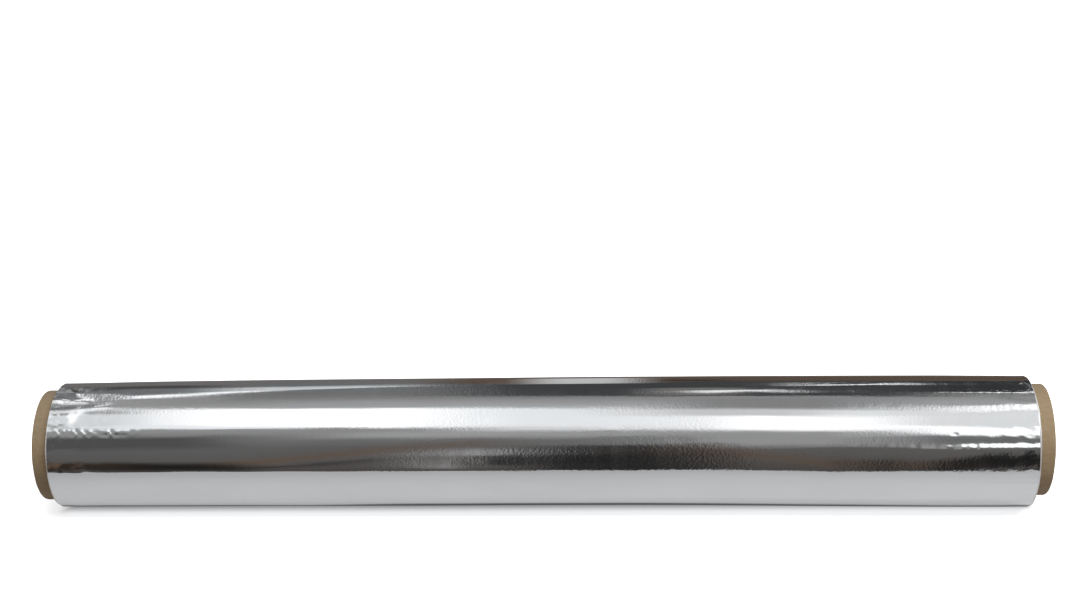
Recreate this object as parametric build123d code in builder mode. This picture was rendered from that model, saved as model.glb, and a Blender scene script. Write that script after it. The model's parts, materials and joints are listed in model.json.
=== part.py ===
"""Household roll of aluminium foil, wound on a spiral paper core.

The roll lies on its side, as it comes to rest on a worktop. +X runs along the roll, +Z is up, and the
origin is on the worktop, under the middle of the roll. Sizes are in millimetres and angles in degrees.
"""

from build123d import *
from math import cos, radians
import os

# Paper core
core_bore = 31.75
core_wall = 1.6
core_overhang = 5.5  # bare paper past the foil, at each end
core_edge_softening = 0.3  # rounding of the knife-cut rims

# Foil
foil_width = 304.8
winding_depth = 2.95  # all the turns together, along a radius
outer_turns_depth = 0.4  # the last few turns, which lie squarely over one another
turn_wander = 0.5  # how far the turns below them stray past each end
tail_step = 0.15  # height of the free edge of the last turn
tail_angle = -25.0  # place of that edge, up from the horizontal at the back of the roll
flat_half_angle = 9.0  # half of the arc that the roll's own weight has pressed flat

# Sizes that follow from the ones above
core_radius = core_bore / 2 + core_wall
core_length = foil_width + 2 * core_overhang
outer_radius = core_radius + winding_depth
stray_turns_radius = outer_radius - tail_step - outer_turns_depth
stray_turns_width = foil_width + 2 * turn_wander
radius_below = outer_radius - tail_step * ((-90 - tail_angle) % 360) / 360
axis_height = radius_below * cos(radians(flat_half_angle))


def across(x):
    """Return the plane across the roll at x: its origin is on the axis and its first direction is +Y."""
    return Plane(origin=(x, 0, axis_height), x_dir=(0, 1, 0), z_dir=(1, 0, 0))


def toward(angle, length=1.0):
    """Return the vector of this length that points at an angle within a plane across the roll."""
    return Vector(length, 0).rotate(Axis.Z, angle)


# Core: a plain tube, whose rims are softened inside and out
with BuildPart() as core_tube:
    with BuildSketch(across(-core_length / 2)):
        Circle(core_radius)
        Circle(core_bore / 2, mode=Mode.SUBTRACT)
    extrude(amount=core_length)
    fillet(core_tube.edges().filter_by(GeomType.CIRCLE), radius=core_edge_softening)

core_tube.part.label = "core_tube"

# Foil: every turn together is one solid ring around the core
with BuildPart() as foil_winding:
    # the turns that stray past the outermost ones
    with BuildSketch(across(-stray_turns_width / 2)):
        Circle(stray_turns_radius)
        Circle(core_radius, mode=Mode.SUBTRACT)
    extrude(amount=stray_turns_width)

    # The last turn is a spiral of four quarter arcs. Each arc's centre lies on the end radius of the
    # arc before it, so they run smoothly together, and the radius has dropped by tail_step after one turn.
    with BuildSketch(across(-foil_width / 2)):
        with BuildLine() as last_turn:
            drop = tail_step / 4
            radius = outer_radius
            centre = toward(tail_angle - 90, drop / 2) + toward(tail_angle, drop / 2)
            for quarter in range(4):
                start = tail_angle + 90 * quarter
                CenterArc(centre, radius, start, 90)
                centre += toward(start + 90, drop)
                radius -= drop
            Line(last_turn.line @ 1, last_turn.line @ 0)
        make_face()
        Circle(core_radius, mode=Mode.SUBTRACT)
    extrude(amount=foil_width)

    # the flat spot on which the roll rests
    split(bisect_by=Plane.XY, keep=Keep.TOP)

foil_winding.part.label = "foil_winding"

os.makedirs("parts", exist_ok=True)
export_step(core_tube.part, "parts/core_tube.step")
export_step(foil_winding.part, "parts/foil_winding.step")
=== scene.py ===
"""Household roll of aluminium foil on a spiral paper core: surfaces, finishes and studio.

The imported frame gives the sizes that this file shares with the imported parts. Lengths are in millimetres
and angles in degrees unless a name says otherwise, and meshes are scaled to metres as they are made.
Around the roll, an angle is counted from the back (+Y) upwards, so the top is at 90 and the front at 180.
"""

import json
import logging
import math
from dataclasses import dataclass
from enum import Enum
from typing import Callable, Sequence, Union

import bmesh
import bpy
import numpy as np
from mathutils import Matrix, Vector

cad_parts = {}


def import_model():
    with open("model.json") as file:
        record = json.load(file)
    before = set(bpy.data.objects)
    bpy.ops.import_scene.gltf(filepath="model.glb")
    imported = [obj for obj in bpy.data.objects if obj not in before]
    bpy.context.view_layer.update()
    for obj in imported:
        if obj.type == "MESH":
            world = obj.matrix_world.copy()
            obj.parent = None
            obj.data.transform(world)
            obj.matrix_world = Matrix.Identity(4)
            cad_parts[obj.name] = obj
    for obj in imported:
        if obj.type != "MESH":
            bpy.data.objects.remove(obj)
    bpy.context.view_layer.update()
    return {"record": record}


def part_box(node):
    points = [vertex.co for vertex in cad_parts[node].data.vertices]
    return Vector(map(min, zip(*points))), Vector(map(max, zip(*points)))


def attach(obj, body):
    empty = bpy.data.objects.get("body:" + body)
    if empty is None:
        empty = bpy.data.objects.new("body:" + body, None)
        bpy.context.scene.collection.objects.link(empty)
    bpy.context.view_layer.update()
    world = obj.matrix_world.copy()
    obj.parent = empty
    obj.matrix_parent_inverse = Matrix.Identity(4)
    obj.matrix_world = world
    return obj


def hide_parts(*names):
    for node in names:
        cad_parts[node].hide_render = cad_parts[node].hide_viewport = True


LOG = logging.getLogger("foil_roll")
MM = 0.001
UV = "UVMap"


# ---- Node trees ----


def arithmetic(operation: str, swapped: bool = False) -> Callable[["Field", "Operand"], "Field"]:
    """Make a method of Field that adds one Math node.

    Args:
        operation: The Math node's operation.
        swapped: Whether the other value comes first.

    Returns:
        The method.
    """

    def method(field: "Field", other: "Operand") -> "Field":
        """Return the operation's result for the field and another value."""
        pair = (other, field) if swapped else (field, other)
        return field.graph.math(operation, *pair)

    return method


class Field:
    """A value inside a node tree. Arithmetic on it adds Math nodes to that tree."""

    __add__ = arithmetic("ADD")
    __radd__ = arithmetic("ADD", swapped=True)
    __sub__ = arithmetic("SUBTRACT")
    __rsub__ = arithmetic("SUBTRACT", swapped=True)
    __mul__ = arithmetic("MULTIPLY")
    __truediv__ = arithmetic("DIVIDE")
    above = arithmetic("GREATER_THAN")
    at_least = arithmetic("MAXIMUM")
    at_most = arithmetic("MINIMUM")

    def __init__(self, graph: "Graph", socket: bpy.types.NodeSocket) -> None:
        """Hold an output socket of the graph."""
        self.graph = graph
        self.socket = socket

    def size(self) -> "Field":
        """Return self without its sign."""
        return self.graph.math("ABSOLUTE", self)


Operand = Union[Field, float]


class Graph:
    """Adds nodes to one tree, so that a formula in this file reads as it would on paper."""

    def __init__(self, tree: bpy.types.NodeTree) -> None:
        """Work on the given tree."""
        self.tree = tree

    def node(self, kind: str, inputs: dict | None = None, **settings: object) -> bpy.types.Node:
        """Add a node.

        Args:
            kind: The node's type name.
            inputs: Values or fields for its inputs, by name or by number.
            **settings: Properties of the node itself.

        Returns:
            The new node.
        """
        node = self.tree.nodes.new(kind)
        for name, value in settings.items():
            setattr(node, name, value)
        self.feed(node, inputs or {})
        return node

    def feed(self, node: bpy.types.Node, values: dict) -> None:
        """Give a node's inputs, by name or by number, constants or fields."""
        for key, value in values.items():
            self.plug(node.inputs[key], value)

    def plug(self, socket: bpy.types.NodeSocket, value: object) -> None:
        """Give an input socket a constant, or link a field to it.

        Args:
            socket: The input socket.
            value: A constant or a field.
        """
        if isinstance(value, Field):
            self.tree.links.new(value.socket, socket)
        else:
            socket.default_value = value

    def out(self, node: bpy.types.Node, key: Union[str, int] = 0) -> Field:
        """Return one output of a node as a field."""
        return Field(self, node.outputs[key])

    def math(self, operation: str, *values: Operand) -> Field:
        """Return the result of a Math node."""
        return self.out(self.node("ShaderNodeMath", dict(enumerate(values)), operation=operation))

    def sine(self, degrees: Field) -> Field:
        """Return the sine of an angle in degrees."""
        return self.math("SINE", degrees * math.radians(1))

    def cosine(self, degrees: Field) -> Field:
        """Return the cosine of an angle in degrees."""
        return self.math("COSINE", degrees * math.radians(1))

    def vector(self, x: Operand, y: Operand, z: Operand) -> Field:
        """Join three numbers into a vector."""
        return self.out(self.node("ShaderNodeCombineXYZ", {0: x, 1: y, 2: z}))

    def split(self, vector: Field) -> tuple[Field, Field, Field]:
        """Return the three numbers of a vector."""
        node = self.node("ShaderNodeSeparateXYZ", {0: vector})
        return self.out(node, 0), self.out(node, 1), self.out(node, 2)

    def stretch(self, vector: Field, x: float, y: float, z: float) -> Field:
        """Multiply a vector's three numbers by these factors."""
        node = self.node("ShaderNodeVectorMath", {0: vector, 1: (x, y, z)}, operation="MULTIPLY")
        return self.out(node)

    def noise(self, place: Field, seed: Operand, detail: float = 1.0, roughness: float = 0.5) -> Field:
        """Return smooth noise between about -0.5 and 0.5 whose features are one unit of place in size."""
        values = {"Vector": place, "W": seed, "Scale": 1.0, "Detail": detail, "Roughness": roughness}
        return self.out(self.node("ShaderNodeTexNoise", values, noise_dimensions="4D")) - 0.5

    def noise_around(
        self, place: tuple[Field, Field, Field], length: float, lobes: float, seed: Operand,
        detail: float = 1.0,
    ) -> Field:
        """Return noise that closes on itself around the roll.

        Args:
            place: Place along the roll, and the cosine and sine of the angle around it.
            length: Size of its features along the roll.
            lobes: How closely they follow each other around it.
            seed: Which noise it is.
            detail: How much finer noise is added to it.

        Returns:
            The noise.
        """
        along, across, up = place
        return self.noise(self.vector(along / length, across * lobes, up * lobes), seed, detail)

    def sheet(self, columns: Operand, rows: Operand) -> tuple[bpy.types.Node, Field, Field]:
        """Add a grid of points.

        Args:
            columns: Points along its x.
            rows: Points along its y.

        Returns:
            The grid's node, and each point's share of the way along x and y, from 0 to 1.
        """
        counts = {"Size X": 1.0, "Size Y": 1.0, "Vertices X": columns, "Vertices Y": rows}
        grid = self.node("GeometryNodeMeshGrid", counts)
        x, y, _ = self.split(self.out(self.node("GeometryNodeInputPosition")))
        return grid, x + 0.5, y + 0.5

    def number(self, share: Field, count: Operand) -> Field:
        """Turn a share of the way through count points into a point's number, from 0."""
        return self.math("ROUND", share * (count - 1.0))

    def bump(self, height: Field) -> Field:
        """Return a normal that follows a height in millimetres."""
        return self.out(self.node("ShaderNodeBump", {"Height": height, "Distance": MM, "Strength": 1.0}))

    def between(
        self, value: Operand, low: float, high: float, to: tuple[float, float] = (0.0, 1.0)
    ) -> Field:
        """Ease a value smoothly from to[0] at low to to[1] at high."""
        inputs = dict(enumerate((value, low, high, *to)))
        return self.out(self.node("ShaderNodeMapRange", inputs, interpolation_type="SMOOTHSTEP"))

    def choose(self, mask: Field, yes: Operand, no: Operand) -> Field:
        """Return yes where the mask is 1, and no where it is 0."""
        return mask * (yes - no) + no

    def ramp(self, value: Field, stops: Sequence[tuple]) -> Field:
        """Turn a value into a colour.

        Args:
            value: The value, from 0 to 1.
            stops: Pairs of a value and its colour, in rising order.

        Returns:
            A colour that runs evenly from each stop's to the next one's.
        """
        node = self.node("ShaderNodeValToRGB", {0: value})
        node.color_ramp.interpolation = "LINEAR"
        elements = node.color_ramp.elements
        while len(elements) > 1:
            elements.remove(elements[-1])
        for index, (place, colour) in enumerate(stops):
            element = elements[0] if index == 0 else elements.new(place)
            element.position = place
            element.color = (*colour, 1.0)
        return self.out(node)

    def mix(self, share: Operand, first: object, second: object) -> Field:
        """Blend two colours.

        Args:
            share: The second colour's share.
            first: A field, or a tuple of red, green and blue.
            second: Likewise.

        Returns:
            The blend.
        """
        node = self.node("ShaderNodeMix", data_type="RGBA")
        for index, value in ((0, share), (6, first), (7, second)):
            if isinstance(value, tuple) and len(value) == 3:
                value = (*value, 1.0)
            self.plug(node.inputs[index], value)
        return self.out(node, 2)


def group_graph(
    name: str, kind: str, inputs: dict, outputs: Sequence[str]
) -> tuple[Graph, dict[str, Field], bpy.types.Node]:
    """Start a node group with named sockets.

    Args:
        name: The group's name.
        kind: "GeometryNodeTree" or "ShaderNodeTree".
        inputs: Default value of each input by name: a material for a material socket, a tuple for a vector
            socket, an int for a whole number and a float for a number.
        outputs: Name of each output. One called Geometry holds geometry, and the others hold numbers.

    Returns:
        The graph, its inputs as fields by name, and its output node.
    """
    tree = bpy.data.node_groups.new(name, kind)
    types = {int: "NodeSocketInt", float: "NodeSocketFloat", tuple: "NodeSocketVector"}
    for socket_name, value in inputs.items():
        is_plain = type(value) in types
        socket_type = types[type(value)] if is_plain else "NodeSocketMaterial"
        socket = tree.interface.new_socket(name=socket_name, in_out="INPUT", socket_type=socket_type)
        if is_plain:
            socket.default_value = value
    for socket_name in outputs:
        socket_type = "NodeSocketGeometry" if socket_name == "Geometry" else "NodeSocketFloat"
        tree.interface.new_socket(name=socket_name, in_out="OUTPUT", socket_type=socket_type)
    graph = Graph(tree)
    source = graph.node("NodeGroupInput")
    fields = {socket_name: graph.out(source, socket_name) for socket_name in inputs}
    return graph, fields, graph.node("NodeGroupOutput")


def wind_grid(
    graph: Graph, grid: bpy.types.Node, place: tuple[Field, Field, Field], field: dict[str, Field],
    end: bpy.types.Node, floor: Operand = 0.0,
) -> None:
    """Close a tree: wind the grid about the roll's axis, close its seams and give it its material.

    Args:
        graph: The tree's graph.
        grid: The Mesh Grid node, whose UV map is kept under the name UV.
        place: Each point's place along the roll, its distance from the axis and its angle around it.
        field: The tree's inputs, among them its axis height and its material.
        end: The tree's output node.
        floor: The lowest that a point may lie.
    """
    x, radius, angle = place
    z = (field["Axis Height"] + radius * graph.sine(angle)).at_least(floor)
    metres = graph.stretch(graph.vector(x, radius * graph.cosine(angle), z), MM, MM, MM)
    inputs = {"Geometry": graph.out(grid, "Mesh"), "Name": UV}
    uv = graph.node("GeometryNodeStoreNamedAttribute", inputs, data_type="FLOAT2", domain="CORNER")
    value = next(s for s in uv.inputs if s.name == "Value" and s.enabled)
    graph.plug(value, graph.out(grid, "UV Map"))
    moved = graph.node("GeometryNodeSetPosition", {"Geometry": graph.out(uv), "Position": metres})
    merged = graph.node("GeometryNodeMergeByDistance", {"Geometry": graph.out(moved), "Distance": 1e-6})
    real = graph.node("GeometryNodeRealizeInstances", {"Geometry": graph.out(merged)})
    inputs = {"Geometry": graph.out(real), "Material": field["Material"]}
    graph.plug(end.inputs[0], graph.out(graph.node("GeometryNodeSetMaterial", inputs)))


def piece_from_tree(name: str, tree: bpy.types.NodeTree, values: dict) -> bpy.types.Object:
    """Run a geometry tree once and keep the result as a plain mesh object.

    Args:
        name: The new object's name.
        tree: The geometry node tree.
        values: The tree's inputs by name.

    Returns:
        An object at the origin with no modifier left on it.
    """
    piece = bpy.data.objects.new(name, bpy.data.meshes.new(name))
    bpy.context.scene.collection.objects.link(piece)
    modifier = piece.modifiers.new("Build", "NODES")
    modifier.node_group = tree
    for item in tree.interface.items_tree:
        if item.item_type == "SOCKET" and item.in_out == "INPUT":
            modifier[item.identifier] = values[item.name]
    depsgraph = bpy.context.evaluated_depsgraph_get()
    result = bpy.data.meshes.new_from_object(
        piece.evaluated_get(depsgraph), preserve_all_data_layers=True, depsgraph=depsgraph
    )
    piece.modifiers.remove(modifier)
    empty = piece.data
    piece.data = result
    bpy.data.meshes.remove(empty)
    result.name = name
    return piece


def shade(piece: bpy.types.Object, sharp_above: float) -> None:
    """Shade a piece smooth, apart from edges that turn by more than this many degrees."""
    piece.data.shade_smooth()
    piece.data.set_sharp_from_angle(angle=math.radians(sharp_above))


# ---- Sizes from the frame ----


@dataclass(frozen=True)
class RollSize:
    """The roll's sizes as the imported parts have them, in millimetres."""

    axis_height: float
    core_radius: float
    core_length: float
    bore_radius: float
    foil_radius: float
    envelope_width: float

    @classmethod
    def from_frame(cls, record: dict) -> "RollSize":
        """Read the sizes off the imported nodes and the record's bore mount.

        Args:
            record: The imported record.

        Returns:
            The roll's sizes.
        """
        core_low, core_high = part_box("core_tube")
        foil_low, foil_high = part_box("foil_winding")
        bore = next(mount for mount in record["mounts"] if mount["kind"] == "bore")
        height = (core_low.z + core_high.z) / 2
        return cls(
            axis_height=height / MM,
            core_radius=(core_high.z - core_low.z) / 2 / MM,
            core_length=(core_high.x - core_low.x) / MM,
            bore_radius=bore["dims"]["r_mm"],
            foil_radius=(foil_high.z - height) / MM,
            envelope_width=(foil_high.x - foil_low.x) / MM,
        )


# ---- Finishes ----


def millimetre_place(graph: Graph) -> Field:
    """Return the point's own place on the object, in millimetres."""
    coordinates = graph.node("ShaderNodeTexCoord")
    return graph.stretch(graph.out(coordinates, "Object"), 1 / MM, 1 / MM, 1 / MM)


def rolling_grain_group() -> bpy.types.NodeTree:
    """Build the group for the fine lines that the mill's rolls leave around the foil.

    Returns:
        A group that takes a place in millimetres and a line spacing, and puts out the lines' height and
        a mask of slightly duller tracks, both between about 0 and 1.
    """
    inputs = {"Place": (0.0, 0.0, 0.0), "Spacing": 0.4}
    graph, field, end = group_graph("Rolling grain", "ShaderNodeTree", inputs, ["Height", "Dull Tracks"])
    x, y, z = graph.split(field["Place"])
    fine = graph.noise(graph.vector(x / field["Spacing"], y * 0.03, z * 0.03), 3.1, detail=2.0)
    tracks = graph.noise(graph.vector(x / 5.0, y * 0.02, z * 0.02), 8.4, detail=2.0)
    graph.feed(end, {"Height": fine + 0.5, "Dull Tracks": graph.between(tracks, -0.1, 0.25)})
    return graph.tree


def stipple_group() -> bpy.types.NodeTree:
    """Build the group for the tiny dimples that thin foil takes from the turns below it.

    Returns:
        A group that takes a place in millimetres and a grain size, and puts out the dimples' height
        and the mask of the zones where they are strong, both between about 0 and 1.
    """
    inputs = {"Place": (0.0, 0.0, 0.0), "Grain": 0.8}
    graph, field, end = group_graph("Foil stipple", "ShaderNodeTree", inputs, ["Height", "Zones"])
    x, y, z = graph.split(field["Place"])
    grain = field["Grain"]
    dimples = graph.noise(graph.vector(x / grain, y / grain, z / grain), 1.7, detail=1.5)
    zones = graph.noise(graph.vector(x / 42.0, y / 11.0, z / 11.0), 5.2, detail=1.0)
    strength = graph.between(zones, -0.12, 0.22)
    graph.feed(end, {"Height": dimples * (strength + 0.12) + 0.5, "Zones": strength})
    return graph.tree


def paper_fibre_group() -> bpy.types.NodeTree:
    """Build the group for unbleached paper: long pale and dark fibres with a cloudy ground.

    Returns:
        A group that takes a place in millimetres along and across the paper, and puts out the fibres'
        height, a mask of fibres and a mask of clouds, all between about 0 and 1.
    """
    inputs = {"Place": (0.0, 0.0, 0.0)}
    outputs = ["Height", "Fibres", "Clouds"]
    graph, field, end = group_graph("Paper fibre", "ShaderNodeTree", inputs, outputs)
    along, across, depth = graph.split(field["Place"])
    long_fibres = graph.noise(graph.vector(along / 1.9, across / 0.22, depth), 2.2, detail=3.0)
    felt = graph.noise(graph.vector(along / 0.5, across / 0.4, depth), 6.6, detail=4.0, roughness=0.65)
    clouds = graph.noise(graph.vector(along / 9.0, across / 5.0, depth), 4.9, detail=3.0)
    graph.feed(end, {
        "Height": long_fibres * 0.6 + felt * 0.8 + 0.5,
        "Fibres": graph.between(long_fibres + felt * 0.5, -0.28, 0.28),
        "Clouds": graph.between(clouds, -0.25, 0.25),
    })
    return graph.tree


class Groups:
    """The shader groups that the finishes share, each built once."""

    def __init__(self) -> None:
        """Build every group."""
        self.rolling_grain = rolling_grain_group()
        self.stipple = stipple_group()
        self.paper_fibre = paper_fibre_group()


def new_material(name: str, **constants: object) -> tuple[Graph, bpy.types.Node]:
    """Make a material whose only shader is a Principled BSDF.

    Args:
        name: The material's name.
        **constants: Values for the shader's sockets, with underscores for spaces.

    Returns:
        The material's graph and its shader node.
    """
    material = bpy.data.materials.new(name)
    material.use_nodes = True
    graph = Graph(material.node_tree)
    shader = material.node_tree.nodes["Principled BSDF"]
    for key, value in constants.items():
        shader.inputs[key.replace("_", " ")].default_value = value
    return graph, shader


@dataclass(frozen=True)
class FoilFinish:
    """Bright rolled foil: a mirror along its turns, drawn out a little across them.

    Attributes:
        name: The material's name.
        colour: The metal's own colour.
        gloss: Roughness where the foil is cleanest.
        dulling: Roughness added in stippled zones and along dull tracks.
        drawn_out: How much more the mill lines blur a reflection across them than along them.
        grain_depth: Depth of the mill lines in millimetres.
        grain_spacing: Distance between them in millimetres.
        stipple_depth: Depth of the dimples in millimetres.
        stipple_grain: Size of a dimple in millimetres.
        mirror_share: Share of the surface that is flat enough to mirror; the rest scatters light.
    """

    name: str
    colour: tuple[float, float, float]
    gloss: float
    dulling: float
    drawn_out: float
    grain_depth: float
    grain_spacing: float
    stipple_depth: float
    stipple_grain: float
    mirror_share: float = 1.0

    def build(self, groups: Groups) -> bpy.types.Material:
        """Build the material.

        Args:
            groups: The shared shader groups.

        Returns:
            The finished material.
        """
        graph, shader = new_material(self.name, Metallic=self.mirror_share, Anisotropic=self.drawn_out)
        place = millimetre_place(graph)
        sockets = {"Place": place, "Spacing": self.grain_spacing}
        grain = graph.node("ShaderNodeGroup", sockets, node_tree=groups.rolling_grain)
        sockets = {"Place": place, "Grain": self.stipple_grain}
        stipple = graph.node("ShaderNodeGroup", sockets, node_tree=groups.stipple)
        height = graph.out(grain, "Height") * self.grain_depth
        height = height + graph.out(stipple, "Height") * self.stipple_depth

        smudges = graph.noise(graph.stretch(place, 0.03, 0.08, 0.08), 9.3, detail=3.0)
        dull = graph.out(stipple, "Zones") * 0.6 + graph.out(grain, "Dull Tracks") * 0.4
        roughness = self.gloss + dull * self.dulling + graph.between(smudges, 0.0, 0.3) * 0.02
        tint = graph.between(smudges, -0.2, 0.3)
        darker = tuple(channel * 0.94 for channel in self.colour)
        tangent = graph.node("ShaderNodeTangent", direction_type="UV_MAP", uv_map=UV)
        graph.feed(shader, {
            "Base Color": graph.mix(tint, self.colour, darker), "Roughness": roughness,
            "Normal": graph.bump(height), "Tangent": graph.out(tangent),
        })
        return bpy.data.materials[self.name]


@dataclass(frozen=True)
class PaperFinish:
    """Unbleached core paper.

    Attributes:
        name: The material's name.
        ground: The paper's own colour.
        pale: Colour of its pale fibres.
        dark: Colour of its dark fibres and clouds.
        depth: Height of the fibres in millimetres.
        roughness: Roughness of the paper.
        sheen: How much its fuzz catches light at a low angle.
    """

    name: str
    ground: tuple[float, float, float]
    pale: tuple[float, float, float]
    dark: tuple[float, float, float]
    depth: float
    roughness: float
    sheen: float

    def build(self, groups: Groups) -> bpy.types.Material:
        """Build the material.

        Args:
            groups: The shared shader groups.

        Returns:
            The finished material.
        """
        graph, shader = new_material(self.name, Sheen_Weight=self.sheen, Specular_IOR_Level=0.7)
        sockets = {"Place": millimetre_place(graph)}
        fibre = graph.node("ShaderNodeGroup", sockets, node_tree=groups.paper_fibre)
        clouds = graph.mix(graph.out(fibre, "Clouds") * 0.45, self.ground, self.dark)
        graph.feed(shader, {
            "Base Color": graph.mix(graph.out(fibre, "Fibres") * 0.35, clouds, self.pale),
            "Roughness": self.roughness + graph.out(fibre, "Clouds") * 0.08,
            "Normal": graph.bump(graph.out(fibre, "Height") * self.depth),
        })
        return bpy.data.materials[self.name]


class Finish(Enum):
    """The roll's finishes."""

    BRIGHT_FOIL = FoilFinish(
        "bright_foil", colour=(0.925, 0.93, 0.94), gloss=0.045, dulling=0.085, drawn_out=0.55,
        grain_depth=0.0010, grain_spacing=0.45, stipple_depth=0.020, stipple_grain=0.75,
    )
    TURN_EDGES = FoilFinish(
        "foil_turn_edges", colour=(0.86, 0.865, 0.88), gloss=0.24, dulling=0.12, drawn_out=0.3,
        grain_depth=0.0012, grain_spacing=0.5, stipple_depth=0.010, stipple_grain=0.5, mirror_share=0.6,
    )
    OUTER_PAPER = PaperFinish(
        "core_outer_paper", ground=(0.245, 0.182, 0.109), pale=(0.34, 0.27, 0.18),
        dark=(0.18, 0.125, 0.068), depth=0.03, roughness=0.50, sheen=0.1,
    )
    INNER_PAPER = PaperFinish(
        "core_inner_paper", ground=(0.25, 0.185, 0.112), pale=(0.34, 0.27, 0.18),
        dark=(0.175, 0.122, 0.07), depth=0.05, roughness=0.9, sheen=0.1,
    )


# ---- Foil ----


@dataclass(frozen=True)
class Crease:
    """A fold or ridge pressed into the outermost turn.

    Attributes:
        start: Its left end, as a place along the roll and an angle around it.
        end: Its right end, likewise.
        height: How far it stands out, or less than 0 for a groove.
        above: Width of its slope on the side that comes first around the roll.
        below: Width of its other slope.
        beads: Share of its height that comes and goes along it, as in a row of small dents.
    """

    start: tuple[float, float]
    end: tuple[float, float]
    height: float
    above: float
    below: float
    beads: float = 0.0

    def rise(self, x: np.ndarray, around: np.ndarray, radius: float) -> np.ndarray:
        """Return how far the crease lifts each point of the unrolled turn.

        Args:
            x: Places along the roll.
            around: Angles around it.
            radius: The turn's radius, which turns angles into lengths.

        Returns:
            The rise of each point in millimetres.
        """
        arc = math.radians(1) * radius
        first = np.array((self.start[0], self.start[1] * arc))
        run = np.array((self.end[0], self.end[1] * arc)) - first
        length = float(np.hypot(*run))
        ahead, side = run / length, np.array((-run[1], run[0])) / length
        from_x, from_arc = x - first[0], around * arc - first[1]
        along = (from_x * ahead[0] + from_arc * ahead[1]) / length
        across = from_x * side[0] + from_arc * side[1]
        across = across / np.where(across < 0, self.above, self.below)
        taper = 0.7
        fade = np.clip(1.0 - np.abs(along * 2 - 1), 0.0, taper) / taper
        fade = fade * fade * (3 - 2 * fade)
        place = along * length
        row = np.sin(place * 5.3 + 1.4 * np.sin(place * 1.13)) * np.cos(place * 1.91 + self.start[1])
        return self.height * fade * (1.0 - self.beads + self.beads * row) * np.exp(-across * across)


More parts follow.
